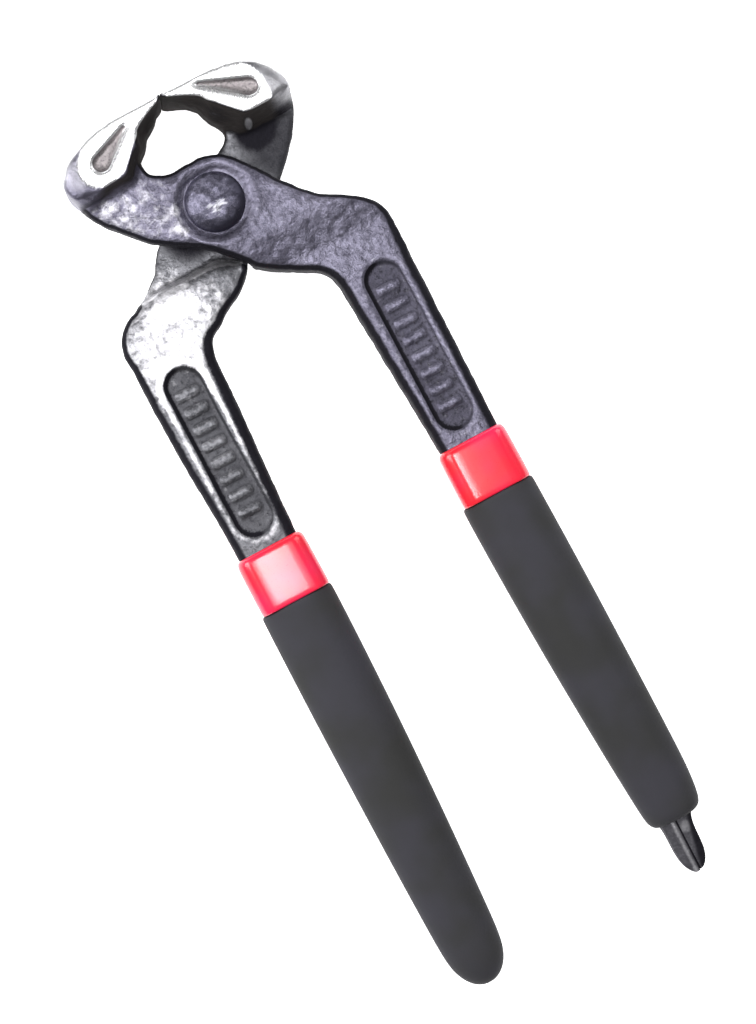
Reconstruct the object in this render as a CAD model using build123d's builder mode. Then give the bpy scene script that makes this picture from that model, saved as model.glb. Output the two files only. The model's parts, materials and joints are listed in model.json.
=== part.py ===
from build123d import *
import os

os.makedirs("parts", exist_ok=True)

# A pair of carpenter's pincers, 200 mm long, lying flat with its jaws towards +Y.
# The pivot axis is parallel to Z. The front lever is the upper one of the lap joint:
# its jaw is on the -X side and its handle on the +X side. The rear lever is the same
# forging turned half a turn about the tool's centre line. Millimetres throughout.

# ---- overall ----
OVERALL_LENGTH = 200.0
JAW_REACH = 25.0                    # pivot axis to the cutting edges
PIVOT_Y = OVERALL_LENGTH / 2 - JAW_REACH
JAW_WIDTH = 22.0                    # width of the bite, along the pivot axis
MID_Z = JAW_WIDTH / 2               # height of the lap joint's meeting plane
EDGE_GAP = 0.3                      # between the cutting edges when closed
EDGE_LAND = 0.6                     # flat on each cutting edge

# ---- lap joint and rivet ----
LAP_THICKNESS = 6.5                 # from the meeting plane to the outer lap face
LAP_GAP = 0.1                       # between the two levers' meeting faces
SHOULDER_Y = -11.0                  # where the half-thick lap meets the full shank
RIVET_RADIUS = 4.0
RUNNING_CLEARANCE = 0.05            # round the rivet in the rear lever's bore
HEAD_RADIUS = 6.5
HEAD_RIM = 0.9                      # straight side of the head under its dome
HEAD_HEIGHT = 3.0                   # from the seat to the top of the dome
SEAT_RADIUS = 7.6                   # round seat sunk into the front lap face
SEAT_DEPTH = 0.6
PEEN_RADIUS = 5.4                   # hammered-over end behind the rear lever
PEEN_HEIGHT = 1.6

# ---- jaws ----
JAW_ROOT_Y = 13.2                   # lower edge of the ground side faces
JAW_STEP_RUN = 1.8                  # slope from a ground face down to the outer lap face
JAW_RELIEF_RUN = 2.8                # slope from a ground face down to the meeting plane
CORNER_START = (-14.1, 13.2)        # the sloped inside corner of the jaw, on the ground face
CORNER_END = (-7.4, 20.3)
CORNER_STEP_RUN = 2.6
CORNER_RELIEF_RUN = 3.4
CORNER_CUT_WIDTH = 9.0              # how far the corner's cutter reaches into the bite
CORNER_CUT_OVERLAP = 0.4            # and past each end of the corner
POCKET_DEPTH = 1.0                  # drop-shaped pocket in each ground face
FRONT_POCKET_POINT = (-8.2, 23.1)
REAR_POCKET_POINT = (-6.9, 23.8)
POCKET_POINT_RADIUS = 0.2
POCKET_END = (-17.5, 17.7)
POCKET_END_RADIUS = 1.9

# ---- crank and shank ----
SHANK_THICKNESS = 9.0
CROTCH_CLEAR = (0.3, -14.9)         # the shoulder slopes up from the crotch to SHOULDER_Y
SHOULDER_CLEAR = (5.5, -10.9)
CRANK_LEVEL_Y = -19.0               # where the lap face has come down to the shank's thickness
CRANK_END_Y = -28.0
SHANK_CORNER = 0.22                 # corner radius as a share of the thickness
PANEL_CENTRE = (24.1, -46.9)        # long round-ended recess on both faces of each shank
PANEL_LENGTH = 39.4
PANEL_WIDTH = 8.6
PANEL_DEPTH = 0.9
RIB_COUNT = 8                       # plain cross ribs standing in the recess
RIB_PITCH = 4.0
RIB_LENGTH = 4.6
RIB_WIDTH = 1.4
RIB_HEIGHT = 0.45

# ---- sleeves ----
COLLAR_START_Y = -69.5
COLLAR_END_Y = -82.5
COLLAR_CORNER = 0.36
GRIP_CORNER = 0.42
OPEN_GRIP_END_Y = -162.5
CLOSED_GRIP_END_Y = -174.3

# ---- claw ----
CLAW_TIP_Y = JAW_REACH - OVERALL_LENGTH
CLAW_TIP_THICKNESS = 1.4
CLAW_X = 25.0                       # centre line of the notch
NOTCH_MOUTH = 0.6
NOTCH_ROOT = 0.4
NOTCH_LENGTH = 9.5

# Sections across one handle: y, inner x, outer x, thickness.
SHANK_SECTIONS = (
    (CRANK_END_Y, 15.3, 31.9, SHANK_THICKNESS),
    (COLLAR_START_Y, 17.6, 31.2, SHANK_THICKNESS),
    (COLLAR_END_Y, 17.9, 31.0, SHANK_THICKNESS),
    (-130.0, 20.0, 30.2, 7.4),
    (OPEN_GRIP_END_Y, 21.5, 29.0, 5.6),
)
COLLAR_SECTIONS = (
    (COLLAR_START_Y, 17.0, 31.8, 11.2),
    (COLLAR_START_Y - 1.4, 16.4, 32.3, 12.2),
    (COLLAR_END_Y, 16.3, 32.4, 12.4),
)
GRIP_SECTIONS = (
    (COLLAR_END_Y, 16.1, 32.8, 12.8),
    (-108.0, 16.6, 33.1, 13.2),
    (-130.0, 17.5, 33.1, 12.8),
    (-150.0, 18.6, 33.0, 12.0),
    (OPEN_GRIP_END_Y, 19.5, 32.6, 11.4),
)
CLOSED_END_SECTIONS = (
    GRIP_SECTIONS[-1],
    (-168.0, 20.0, 32.3, 11.0),
    (-171.2, 21.4, 31.1, 9.4),
    (-173.3, 23.2, 29.4, 6.8),
    (CLOSED_GRIP_END_Y, 24.6, 28.0, 3.2),
)

CUT_OVERSHOOT = 1.0                 # how far a cutter runs past the face it cuts
HALF_JAW = JAW_WIDTH / 2
HALF_SHANK = SHANK_THICKNESS / 2
LAP_FACE = LAP_GAP / 2
PIVOT = (0, PIVOT_Y, MID_Z)

# Each lever is drawn on its own plane: x across, y towards the jaws, z out of its lap face.
FRONT = Plane(PIVOT)
REAR = Plane(PIVOT, x_dir=(-1, 0, 0), z_dir=(0, 0, -1))


def section(side, y, inner_x, outer_x, thickness, corner):
    """A rounded section across one handle: side +1 is the front lever's, -1 the rear's."""
    centre_x = side * (inner_x + outer_x) / 2
    plane = Plane((centre_x, PIVOT_Y + y, MID_Z), x_dir=(1, 0, 0), z_dir=(0, -1, 0))
    with BuildSketch(plane) as outline:
        RectangleRounded(outer_x - inner_x, thickness, corner * thickness)
    return outline.sketch


def handle_body(side, sections, corner):
    """A straight-sided solid through the sections of one handle."""
    with BuildPart() as body:
        loft([section(side, *row, corner) for row in sections], ruled=True)
    return body.part


def lever_outline():
    """Plan outline of a lever from its cutting edge to the end of its crank."""
    edge = (-EDGE_GAP / 2, JAW_REACH)
    edge_foot = (-EDGE_GAP / 2, JAW_REACH - EDGE_LAND)
    bevel_foot = (-1.4, 23.6)
    bite_foot = (-4.9, 22.0)
    notch = (-14.9, -1.6)
    crotch = (0.1, -14.3)
    lap_corner = (10.4, 3.6)
    inner_end = (SHANK_SECTIONS[0][1], CRANK_END_Y)
    outer_end = (SHANK_SECTIONS[0][2], CRANK_END_Y)
    # back of the jaw, down to the notch beside the lap, and along the lap to the crotch
    Spline(edge, (-12.0, 24.6), (-19.6, 22.8), (-23.8, 19.4), (-25.7, 15.0), (-24.9, 11.0),
           (-20.9, 4.6), notch)
    Spline(notch, (-10.6, -4.5), (-5.2, -8.7), crotch)
    # crank: inner bend, across the shank, outer bend
    Spline(crotch, (4.6, -18.2), (11.0, -21.8), inner_end, tangents=((0.5, -1), (0, -1)))
    Line(inner_end, outer_end)
    Spline(outer_end, (30.4, -15.9), (25.6, -11.6), (18.4, -7.1), (14.2, -1.9), lap_corner,
           tangents=((0, 1), (-0.6, 0.8)))
    # round the lap and up the inside of the jaw to the cutting edge
    Spline(lap_corner, (5.0, 8.9), (-5.6, 9.5), (-9.4, 13.0), (-8.2, 18.6), bite_foot,
           tangents=((-0.6, 0.8), (3.6, 1.6)))
    Polyline(bite_foot, bevel_foot, edge_foot, edge)


def side_outline():
    """Side view of a lever: full width at the jaw, half thickness at the lap, full shank."""
    top = JAW_REACH + CUT_OVERSHOOT
    Polyline(
        (top, HALF_JAW), (JAW_ROOT_Y, HALF_JAW),
        (JAW_ROOT_Y - JAW_STEP_RUN, LAP_THICKNESS), (SHOULDER_Y, LAP_THICKNESS),
        (CRANK_LEVEL_Y, HALF_SHANK), (CRANK_END_Y, HALF_SHANK),
        (CRANK_END_Y, -HALF_SHANK), (SHOULDER_Y, -HALF_SHANK),
        (SHOULDER_Y, LAP_FACE), (JAW_ROOT_Y - JAW_RELIEF_RUN, LAP_FACE),
        (JAW_ROOT_Y, -HALF_JAW), (top, -HALF_JAW),
        close=True)


def corner_plane(frame):
    """Plane across the jaw's inside corner: x into the bite, y out of the lap face."""
    start = frame.from_local_coords(Vector(*CORNER_START, 0))
    end = frame.from_local_coords(Vector(*CORNER_END, 0))
    along = (start - end).normalized()
    return Plane((start + end) * 0.5, x_dir=along.cross(frame.z_dir) * -1, z_dir=along)


def corner_wedge(foot, run, height):
    """Outline of the material outside the corner's slope, from the lap to past the face."""
    past = CUT_OVERSHOOT if height > 0 else -CUT_OVERSHOOT
    slope = run / (height - foot)
    Polyline((-slope * past, height + past), (run, foot), (CORNER_CUT_WIDTH, foot),
             (CORNER_CUT_WIDTH, height + past), close=True)


def forge_lever(frame, side, pocket_point):
    """The forging common to both levers, up to the end of its shank."""
    with BuildPart() as lever:
        with BuildSketch(frame.offset(-HALF_JAW)):
            with BuildLine():
                lever_outline()
            make_face()
        extrude(amount=JAW_WIDTH)
        with BuildSketch(Plane(frame.origin, x_dir=frame.y_dir, z_dir=frame.x_dir)):
            with BuildLine():
                side_outline()
            make_face()
        extrude(amount=OVERALL_LENGTH, both=True, mode=Mode.INTERSECT)
        # clear the other lever's lap beside the crotch
        with BuildSketch(frame.offset(LAP_FACE)):
            with BuildLine():
                Polyline(CROTCH_CLEAR, SHOULDER_CLEAR, (-HALF_JAW, SHOULDER_Y),
                         (-HALF_JAW, CROTCH_CLEAR[1]), close=True)
            make_face()
        extrude(amount=-HALF_JAW, mode=Mode.SUBTRACT)
        corner_length = (Vector(*CORNER_END) - Vector(*CORNER_START)).length
        for foot, run, height in ((LAP_THICKNESS, CORNER_STEP_RUN, HALF_JAW),
                                  (LAP_FACE, CORNER_RELIEF_RUN, -HALF_JAW)):
            with BuildSketch(corner_plane(frame)):
                with BuildLine():
                    corner_wedge(foot, run, height)
                make_face()
            extrude(amount=corner_length / 2 + CORNER_CUT_OVERLAP, both=True, mode=Mode.SUBTRACT)
        add(handle_body(side, SHANK_SECTIONS, SHANK_CORNER))
        for face in (1, -1):
            with BuildSketch(frame.offset(face * HALF_JAW)):
                with Locations(pocket_point):
                    Circle(POCKET_POINT_RADIUS)
                with Locations(POCKET_END):
                    Circle(POCKET_END_RADIUS)
                make_hull()
            extrude(amount=-face * POCKET_DEPTH, mode=Mode.SUBTRACT)
            with BuildSketch(frame.offset(face * HALF_SHANK)):
                with Locations(PANEL_CENTRE):
                    SlotOverall(PANEL_LENGTH, PANEL_WIDTH, rotation=90)
            extrude(amount=-face * PANEL_DEPTH, mode=Mode.SUBTRACT)
            with BuildSketch(frame.offset(face * (HALF_SHANK - PANEL_DEPTH))):
                with Locations(PANEL_CENTRE):
                    with GridLocations(0, RIB_PITCH, 1, RIB_COUNT):
                        Rectangle(RIB_LENGTH, RIB_WIDTH)
            extrude(amount=face * RIB_HEIGHT)
    return lever.part


def bore(frame, radius):
    """A cylinder along the pivot axis, longer than the lap is thick."""
    with BuildPart() as cylinder:
        with BuildSketch(frame.offset(-HALF_JAW)):
            Circle(radius)
        extrude(amount=JAW_WIDTH)
    return cylinder.part


def claw():
    """The nail-lifting claw: a flat tapered tongue, split from its tip by a narrow notch."""
    root_inner, root_outer, root_thickness = SHANK_SECTIONS[-1][1:]
    root_y = OPEN_GRIP_END_Y
    with BuildPart() as tongue:
        with BuildSketch(FRONT.offset(-HALF_SHANK)):
            with BuildLine():
                root_in = (root_inner, root_y)
                root_out = (root_outer, root_y)
                tip_in = (23.9, CLAW_TIP_Y)
                tip_out = (25.9, CLAW_TIP_Y + 0.4)
                Line(root_out, root_in)
                Spline(root_in, (21.7, -169.0), (22.4, -173.0), tip_in)
                Line(tip_in, tip_out)
                Spline(tip_out, (27.4, -172.6), (28.1, -168.0), root_out)
            make_face()
        extrude(amount=SHANK_THICKNESS)
        with BuildSketch(Plane(PIVOT, x_dir=(0, 1, 0), z_dir=(1, 0, 0))):
            with BuildLine():
                Polyline((root_y, root_thickness / 2), (CLAW_TIP_Y, CLAW_TIP_THICKNESS / 2),
                         (CLAW_TIP_Y, -CLAW_TIP_THICKNESS / 2), (root_y, -root_thickness / 2),
                         close=True)
            make_face()
        extrude(amount=OVERALL_LENGTH, both=True, mode=Mode.INTERSECT)
        with BuildSketch(FRONT.offset(-HALF_SHANK)):
            with BuildLine():
                below = CLAW_TIP_Y - CUT_OVERSHOOT
                top = CLAW_TIP_Y + NOTCH_LENGTH
                Polyline((CLAW_X - NOTCH_MOUTH / 2, below), (CLAW_X - NOTCH_ROOT / 2, top),
                         (CLAW_X + NOTCH_ROOT / 2, top), (CLAW_X + NOTCH_MOUTH / 2, below),
                         close=True)
            make_face()
        extrude(amount=SHANK_THICKNESS, mode=Mode.SUBTRACT)
    return tongue.part


def sleeve(side, sections, corner):
    """A sleeve with the given outer sections, hollowed by the shank that it is pushed over."""
    with BuildPart() as tube:
        add(handle_body(side, sections, corner))
        add(handle_body(side, SHANK_SECTIONS, SHANK_CORNER), mode=Mode.SUBTRACT)
    return tube.part


# ---- front lever: left jaw, rivet seat, right handle with the claw ----
with BuildPart() as front_lever:
    add(forge_lever(FRONT, 1, FRONT_POCKET_POINT))
    add(bore(FRONT, RIVET_RADIUS), mode=Mode.SUBTRACT)
    with BuildSketch(FRONT.offset(LAP_THICKNESS)):
        Circle(SEAT_RADIUS)
    extrude(amount=-SEAT_DEPTH, mode=Mode.SUBTRACT)
    add(claw())

# ---- rear lever: right jaw, running bore, left handle ----
with BuildPart() as rear_lever:
    add(forge_lever(REAR, -1, REAR_POCKET_POINT))
    add(bore(REAR, RIVET_RADIUS + RUNNING_CLEARANCE), mode=Mode.SUBTRACT)

# ---- pivot rivet: domed head in its seat, shank through both levers, peened end ----
with BuildPart() as pivot_rivet:
    with BuildSketch(Plane(PIVOT, x_dir=(1, 0, 0), z_dir=(0, -1, 0))):
        with BuildLine():
            seat = LAP_THICKNESS - SEAT_DEPTH
            rim = seat + HEAD_RIM
            crown = (0, seat + HEAD_HEIGHT)
            peen = -LAP_THICKNESS - LAP_GAP
            peen_crown = (0, peen - PEEN_HEIGHT)
            TangentArc(crown, (HEAD_RADIUS, rim), tangent=(1, 0))
            Polyline((HEAD_RADIUS, rim), (HEAD_RADIUS, seat), (RIVET_RADIUS, seat),
                     (RIVET_RADIUS, peen), (PEEN_RADIUS, peen))
            TangentArc(peen_crown, (PEEN_RADIUS, peen), tangent=(1, 0))
            Line(peen_crown, crown)
        make_face()
    revolve(axis=Axis(PIVOT, (0, 0, 1)))

# ---- sleeves ----
with BuildPart() as front_collar:
    add(sleeve(1, COLLAR_SECTIONS, COLLAR_CORNER))

with BuildPart() as rear_collar:
    add(sleeve(-1, COLLAR_SECTIONS, COLLAR_CORNER))

with BuildPart() as front_grip:
    add(sleeve(1, GRIP_SECTIONS, GRIP_CORNER))

with BuildPart() as rear_grip:
    add(sleeve(-1, GRIP_SECTIONS, GRIP_CORNER))
    add(handle_body(-1, CLOSED_END_SECTIONS, GRIP_CORNER))

front_lever.part.label = "front_lever"
rear_lever.part.label = "rear_lever"
pivot_rivet.part.label = "pivot_rivet"
front_collar.part.label = "front_collar"
rear_collar.part.label = "rear_collar"
front_grip.part.label = "front_grip"
rear_grip.part.label = "rear_grip"

for piece in (front_lever, rear_lever, pivot_rivet, front_collar, rear_collar, front_grip, rear_grip):
    export_step(piece.part, f"parts/{piece.part.label}.step")
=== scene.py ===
"""Looks of a pair of carpenter's pincers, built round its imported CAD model.

The model's frame is in metres: +Y runs towards the jaws, +Z is up along the pivot axis, and
the handle with the claw is on the +X side. The classes hold their sizes in millimetres.
"""

import json
import logging
import math
from dataclasses import dataclass
from enum import Enum

import bpy
import numpy as np
from mathutils import Matrix, Vector
from mathutils.kdtree import KDTree


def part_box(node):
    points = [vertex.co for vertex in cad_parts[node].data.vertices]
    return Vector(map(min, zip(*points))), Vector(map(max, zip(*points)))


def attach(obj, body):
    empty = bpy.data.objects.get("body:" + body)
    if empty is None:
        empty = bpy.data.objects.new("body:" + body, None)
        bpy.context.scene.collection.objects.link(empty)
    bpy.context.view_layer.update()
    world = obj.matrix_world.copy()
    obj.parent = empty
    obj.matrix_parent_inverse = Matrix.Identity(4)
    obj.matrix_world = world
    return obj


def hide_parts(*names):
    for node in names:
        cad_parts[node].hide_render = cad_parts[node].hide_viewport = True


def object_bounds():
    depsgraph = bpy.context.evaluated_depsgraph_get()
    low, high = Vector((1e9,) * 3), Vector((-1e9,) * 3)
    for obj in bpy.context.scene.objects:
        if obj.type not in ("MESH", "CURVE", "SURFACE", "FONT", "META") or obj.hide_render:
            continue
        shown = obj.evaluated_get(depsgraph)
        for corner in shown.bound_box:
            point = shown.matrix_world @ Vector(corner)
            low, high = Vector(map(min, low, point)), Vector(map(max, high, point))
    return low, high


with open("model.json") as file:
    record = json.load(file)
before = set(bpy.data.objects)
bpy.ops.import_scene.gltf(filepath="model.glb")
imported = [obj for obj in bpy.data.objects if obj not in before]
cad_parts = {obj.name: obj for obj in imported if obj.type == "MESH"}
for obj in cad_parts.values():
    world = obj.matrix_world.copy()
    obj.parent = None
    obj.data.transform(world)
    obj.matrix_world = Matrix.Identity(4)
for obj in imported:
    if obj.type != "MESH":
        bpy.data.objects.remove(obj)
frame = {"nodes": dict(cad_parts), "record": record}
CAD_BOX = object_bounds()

LOG = logging.getLogger("pincers")
MM = 0.001
PIVOT = Vector(frame["record"]["behaviour"]["joints"][0]["pos_m"])
SOFT_ANGLE = math.radians(50)


def end_of(node: str, corner: int) -> float:
    """Where a CAD node ends along Y at its box's low (0) or high (1) corner, from the pivot."""
    return round((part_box(node)[corner][1] - PIVOT.y) / MM, 3)


# Places along both handles; the claw is parted from its forging inside the sleeve.
COLLAR_START = end_of("front_collar", 1)
COLLAR_END = end_of("front_collar", 0)
SLEEVE_END = end_of("front_grip", 0)
CLAW_CUT = SLEEVE_END + 12.5


# -------- shader maths


class Socket:
    """One output socket of a shader tree, with arithmetic that adds Math nodes."""

    def __init__(self, tree: "ShaderTree", output: bpy.types.NodeSocket) -> None:
        """Wraps an output.

        Args:
            tree: The tree that the output belongs to.
            output: The node's output socket.
        """
        self.tree = tree
        self.output = output

    def _math(self, operation: str, first: object, second: object) -> "Socket":
        """Adds a Math node of the given operation on two values."""
        return self.tree.node("ShaderNodeMath", {"operation": operation}, {0: first, 1: second})

    def __add__(self, other: object) -> "Socket":
        """Sum."""
        return self._math("ADD", self, other)

    def __radd__(self, other: object) -> "Socket":
        """Sum, reflected."""
        return self._math("ADD", other, self)

    def __sub__(self, other: object) -> "Socket":
        """Difference."""
        return self._math("SUBTRACT", self, other)

    def __rsub__(self, other: object) -> "Socket":
        """Difference, reflected."""
        return self._math("SUBTRACT", other, self)

    def __mul__(self, other: object) -> "Socket":
        """Product."""
        return self._math("MULTIPLY", self, other)

    def step(self, low: float, high: float) -> "Socket":
        """A smooth step from 0 at low to 1 at high."""
        return self.tree.node("ShaderNodeMapRange", {"interpolation_type": "SMOOTHSTEP"},
                              {"Value": self, "From Min": low, "From Max": high})


class ShaderTree:
    """A material's node tree and the few ways that this file adds nodes to it."""

    def __init__(self, name: str) -> None:
        """Starts a material with an empty tree.

        Args:
            name: The material's name.
        """
        self.material = bpy.data.materials.new(name)
        self.material.use_nodes = True
        self.nodes = self.material.node_tree.nodes
        self.links = self.material.node_tree.links
        self.nodes.clear()
        self.place = self.node("ShaderNodeTexCoord", {}, {}, "Object")

    def node(self, kind: str, settings: dict, values: dict, result: object = 0) -> Socket:
        """Adds one node.

        Args:
            kind: The node's type.
            settings: Its properties, set before the sockets.
            values: Input socket names or numbers, each with a value or a Socket.
            result: The name or number of the output that is wanted.

        Returns:
            The wanted output.
        """
        made = self.nodes.new(kind)
        for key, value in settings.items():
            setattr(made, key, value)
        for key, value in values.items():
            if isinstance(value, Socket):
                self.links.new(value.output, made.inputs[key])
            else:
                made.inputs[key].default_value = value
        return Socket(self, made.outputs[result])

    def noise(self, size: float, detail: float = 2.0, rough: float = 0.5,
              stretch: tuple = (1.0, 1.0, 1.0)) -> Socket:
        """Noise of a given grain.

        Args:
            size: The grain's size in metres.
            detail: Octaves.
            rough: Strength of the finer octaves.
            stretch: How much finer the grain is along each axis.

        Returns:
            The noise value, about 0.5 in the mean.
        """
        place = self.node("ShaderNodeMapping", {}, {"Vector": self.place, "Scale": stretch})
        return self.node("ShaderNodeTexNoise", {}, {"Vector": place, "Scale": 1.0 / size,
                                                    "Detail": detail, "Roughness": rough})

    def attribute(self, name: str) -> Socket:
        """A value stored on the mesh."""
        return self.node("ShaderNodeAttribute", {"attribute_name": name}, {}, "Fac")

    def blend(self, share: object, first: object, second: object) -> Socket:
        """A colour between two colours."""
        return self.node("ShaderNodeMix", {"data_type": "RGBA"},
                         {"Factor": share, 6: first, 7: second}, 2)

    def bump(self, height: Socket, strength: float, distance: float) -> Socket:
        """A bumped normal from a height."""
        return self.node("ShaderNodeBump", {},
                         {"Height": height, "Strength": strength, "Distance": distance})

    def finish(self, values: dict) -> bpy.types.Material:
        """Closes the tree with a Principled shader.

        Args:
            values: The shader's sockets.

        Returns:
            The finished material.
        """
        shader = self.node("ShaderNodeBsdfPrincipled", {}, values)
        output = self.nodes.new("ShaderNodeOutputMaterial")
        self.links.new(shader.output, output.inputs["Surface"])
        return self.material


# -------- finishes

Colour = tuple[float, float, float, float]


@dataclass(frozen=True)
class ForgedSteel:
    """A shot-blasted forging with ground jaw faces, painted shade on its sides and edges, and painted
    highlights.
    """

    name: str
    skin: Colour = (0.075, 0.071, 0.098, 1.0)
    skin_light: Colour = (0.25, 0.24, 0.315, 1.0)
    # Colour of the painted highlights.
    painted_highlight: Colour = (0.80, 0.79, 0.83, 1.0)
    # Painted shade on the steep sides and along the edges; also the dark of the pits in the pocket.
    scale: Colour = (0.021, 0.020, 0.026, 1.0)
    ground: Colour = (0.92, 0.92, 0.93, 1.0)
    ground_line: Colour = (0.66, 0.66, 0.68, 1.0)
    pocket: Colour = (0.27, 0.245, 0.25, 1.0)
    # Painted shade on the steep walls between the jaws.
    bite_shade: Colour = (0.056, 0.050, 0.049, 1.0)
    grit: float = 1.0
    dent_size: float = 1.1 * MM
    grain_size: float = 0.4 * MM
    speck_size: float = 1.9 * MM
    cloud_size: float = 8.0 * MM
    line_size: float = 0.5 * MM
    line_stretch: tuple = (6.0, 0.6, 1.0)
    relief: float = 0.3 * MM

    def material(self) -> bpy.types.Material:
        """Builds the material.

        Returns:
            The material, driven by the mesh's own masks.
        """
        tree = ShaderTree(self.name)
        ground, pocket, bite_shade = (tree.attribute(mask) for mask in ("ground", "pocket", "bite_shade"))
        shade, bright, calm = (tree.attribute(mask) for mask in ("shade", "painted_highlight", "calm"))
        dents = tree.noise(self.dent_size, 3.0, 0.62)
        grain = tree.noise(self.grain_size, 2.0, 0.6)
        cloud = tree.noise(self.cloud_size)
        specks = tree.noise(self.speck_size, 3.0, 0.6)
        lines = tree.noise(self.line_size, 2.0, 0.6, self.line_stretch)
        rough_share = (1 - calm * 0.85) * self.grit
        mottle = ((dents - 0.5) * 0.95 + (grain - 0.5) * 0.5) * rough_share
        blotch = ((specks - 0.5) * 1.15 + (dents - 0.5) * 0.45) * rough_share
        light = (mottle * 0.75 + cloud * 0.55).step(0.0, 0.7)
        skin = tree.blend(light, self.skin, self.skin_light)
        # Painted highlights over the skin.
        lit = tree.blend((bright * 1.3 + blotch).step(0.15, 1.05), skin, self.painted_highlight)
        # Painted shade: sides and edges darkened to the scale colour.
        dark = (shade + mottle * 0.45).step(0.25, 0.75)
        edge_shaded = tree.blend(dark, lit, self.scale)
        pitted = tree.blend(grain.step(0.1, 0.6), self.scale, self.pocket)
        recess = tree.blend(pocket, edge_shaded, pitted)
        # Painted shade between the jaws.
        bite_shaded = tree.blend(bite_shade, recess, self.bite_shade)
        cut = tree.blend(lines.step(0.35, 0.6), self.ground_line, self.ground)
        rough_skin = 0.34 + grain * 0.16 + dark * 0.3 + bite_shade * 0.3
        height = (dents * 0.7 + grain * 0.3) * (1 - ground) + lines * ground * 0.04
        return tree.finish({
            "Base Color": tree.blend(ground, bite_shaded, cut),
            "Metallic": 0.95,
            "Roughness": rough_skin * (1 - ground) + ground * (0.2 + lines * 0.14),
            "Specular IOR Level": 0.2,
            "Normal": tree.bump(height, 0.7, self.relief),
        })


@dataclass(frozen=True)
class HammeredSteel:
    """The rivet's steel, closed with a hammer."""

    name: str = "hammered_steel"
    dark: Colour = (0.082, 0.079, 0.110, 1.0)
    light: Colour = (0.185, 0.178, 0.240, 1.0)
    # Painted shade on the lower right flank and the rim.
    flank_shade: Colour = (0.044, 0.042, 0.062, 1.0)
    # Colour of the painted highlight streaks.
    highlight_streak: Colour = (0.52, 0.52, 0.57, 1.0)
    dent_size: float = 1.4 * MM
    grain_size: float = 0.35 * MM
    streak_size: float = 1.2 * MM
    streak_stretch: tuple = (0.55, 1.9, 1.0)
    relief: float = 0.3 * MM

    def material(self) -> bpy.types.Material:
        """Builds the material.

        Returns:
            The material, with painted highlight streaks and a painted glint on the dome.
        """
        tree = ShaderTree(self.name)
        dents = tree.noise(self.dent_size, 3.0, 0.6)
        grain = tree.noise(self.grain_size, 2.0, 0.6)
        streaks = tree.noise(self.streak_size, 2.0, 0.5, self.streak_stretch)
        base = tree.blend((dents + (grain - 0.5) * 0.4).step(0.35, 0.7), self.dark, self.light)
        # Painted highlights: streaks and the glint.
        painted_glint = (streaks + tree.attribute("painted_highlight") * 0.28).step(0.68, 0.92)
        # Painted shade on the flank and rim.
        flank_shaded = tree.blend(tree.attribute("shade"), base, self.flank_shade)
        return tree.finish({
            "Base Color": tree.blend(painted_glint, flank_shaded, self.highlight_streak),
            "Metallic": 0.95,
            "Roughness": 0.34 + grain * 0.2,
            "Specular IOR Level": 0.2,
            "Normal": tree.bump(dents * 0.6 + streaks * 0.3 + grain * 0.2, 0.6, self.relief),
        })


@dataclass(frozen=True)
class SleevePlastic:
    """Dipped or moulded plastic with a fine orange-peel skin."""

    name: str
    colour: Colour
    tint: Colour
    roughness: float
    coat: float
    peel_size: float
    peel_depth: float
    specular: float
    dust: float
    cloud_size: float = 14.0 * MM
    dust_size: float = 0.25 * MM

    def material(self) -> bpy.types.Material:
        """Builds the material.

        Returns:
            The material, faintly clouded and dusty.
        """
        tree = ShaderTree(self.name)
        cloud = tree.noise(self.cloud_size)
        peel = tree.noise(self.peel_size)
        dust = tree.noise(self.dust_size, 1.0)
        return tree.finish({
            "Base Color": tree.blend(cloud.step(0.3, 0.7), self.colour, self.tint),
            "Roughness": self.roughness + (dust - 0.5) * self.dust,
            "Coat Weight": self.coat,
            "Coat Roughness": 0.18,
            "Specular IOR Level": self.specular,
            "Normal": tree.bump(peel, 0.3, self.peel_depth),
        })


@dataclass(frozen=True)
class PaleFloor:
    """A plain pale studio floor."""

    name: str = "pale_floor"
    colour: Colour = (0.93, 0.93, 0.93, 1.0)
    light: Colour = (1.0, 1.0, 1.0, 1.0)
    mottle_size: float = 0.4
    glow: float = 1.0

    def material(self) -> bpy.types.Material:
        """Builds the material.

        Returns:
            The material, which glows evenly.
        """
        tree = ShaderTree(self.name)
        mottle = tree.noise(self.mottle_size, 1.0, 0.4)
        return tree.finish({
            "Base Color": tree.blend(mottle * 0.1, self.colour, self.light),
            "Roughness": 0.9,
            "Emission Color": self.light,
            "Emission Strength": self.glow,
        })


# -------- mesh handling


def only(thing: bpy.types.Object) -> None:
    """Selects one object and makes it active.

    Args:
        thing: The object.
    """
    if bpy.context.object and bpy.context.object.mode != "OBJECT":
        bpy.ops.object.mode_set(mode="OBJECT")
    bpy.ops.object.select_all(action="DESELECT")
    thing.select_set(True)
    bpy.context.view_layer.objects.active = thing


def modify(thing: bpy.types.Object, kind: str, **settings: object) -> None:
    """Adds a modifier and applies it.

    Args:
        thing: The object.
        kind: The modifier's type.
        settings: Its properties.
    """
    only(thing)
    modifier = thing.modifiers.new(kind.lower(), kind)
    for key, value in settings.items():
        setattr(modifier, key, value)
    bpy.ops.object.modifier_apply(modifier=modifier.name)


def per_vertex(thing: bpy.types.Object, what: str) -> np.ndarray:
    """A vector of every vertex.

    Args:
        thing: The object.
        what: The property's name.

    Returns:
        The vectors, one row each.
    """
    flat = np.zeros(len(thing.data.vertices) * 3)
    thing.data.vertices.foreach_get(what, flat)
    return flat.reshape(-1, 3)


def points(thing: bpy.types.Object) -> np.ndarray:
    """The vertices' places, one row each, in metres."""
    return per_vertex(thing, "co")


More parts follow.
